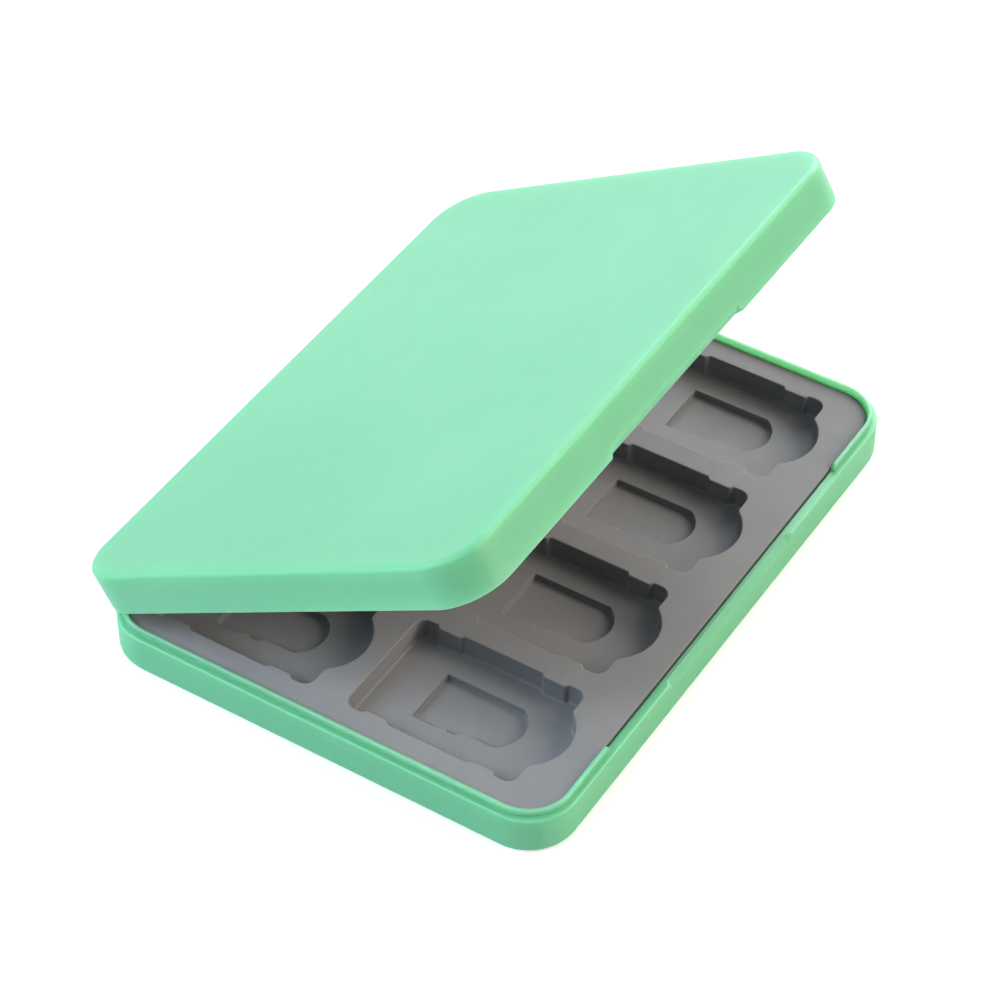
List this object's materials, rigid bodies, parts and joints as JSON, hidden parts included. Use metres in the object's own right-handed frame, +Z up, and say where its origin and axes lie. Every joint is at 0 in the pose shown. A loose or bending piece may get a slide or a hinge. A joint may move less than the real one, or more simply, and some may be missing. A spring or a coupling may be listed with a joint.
{
  "type": "game card case",
  "caption": "Flat hinged plastic case whose soft trays hold game cards in pockets, with a memory chip recess under each card",
  "frame": {"origin": "the middle of the base's flat underside", "axes": "+Z up, +X along the hinge line to the right as seen from the opening side, +Y from the opening side to the hinge"},
  "size_m": [0.1206, 0.0946, 0.0608],
  "materials": {
    "base_plastic": "satin",
    "lid_plastic": "satin",
    "base_silicone": "matte",
    "lid_silicone": "matte",
    "pin_steel": "satin",
    "magnet_nickel": "polished"
  },
  "bodies": {
    "base": {"base_shell": "base_plastic", "base_tray": "base_silicone", "hinge_pin_left": "pin_steel", "hinge_pin_right": "pin_steel", "base_magnet_left": "magnet_nickel", "base_magnet_right": "magnet_nickel"},
    "lid": {"lid_shell": "lid_plastic", "lid_tray": "lid_silicone", "lid_magnet_left": "magnet_nickel", "lid_magnet_right": "magnet_nickel"}
  },
  "joints": [
    {"name": "lid_hinge", "type": "hinge", "parent": "base", "child": "lid", "pos_m": [0, 0.04695, 0.00825], "axis": [-1, 0, 0], "range_deg": [-29.85, 150.15]}
  ]
}
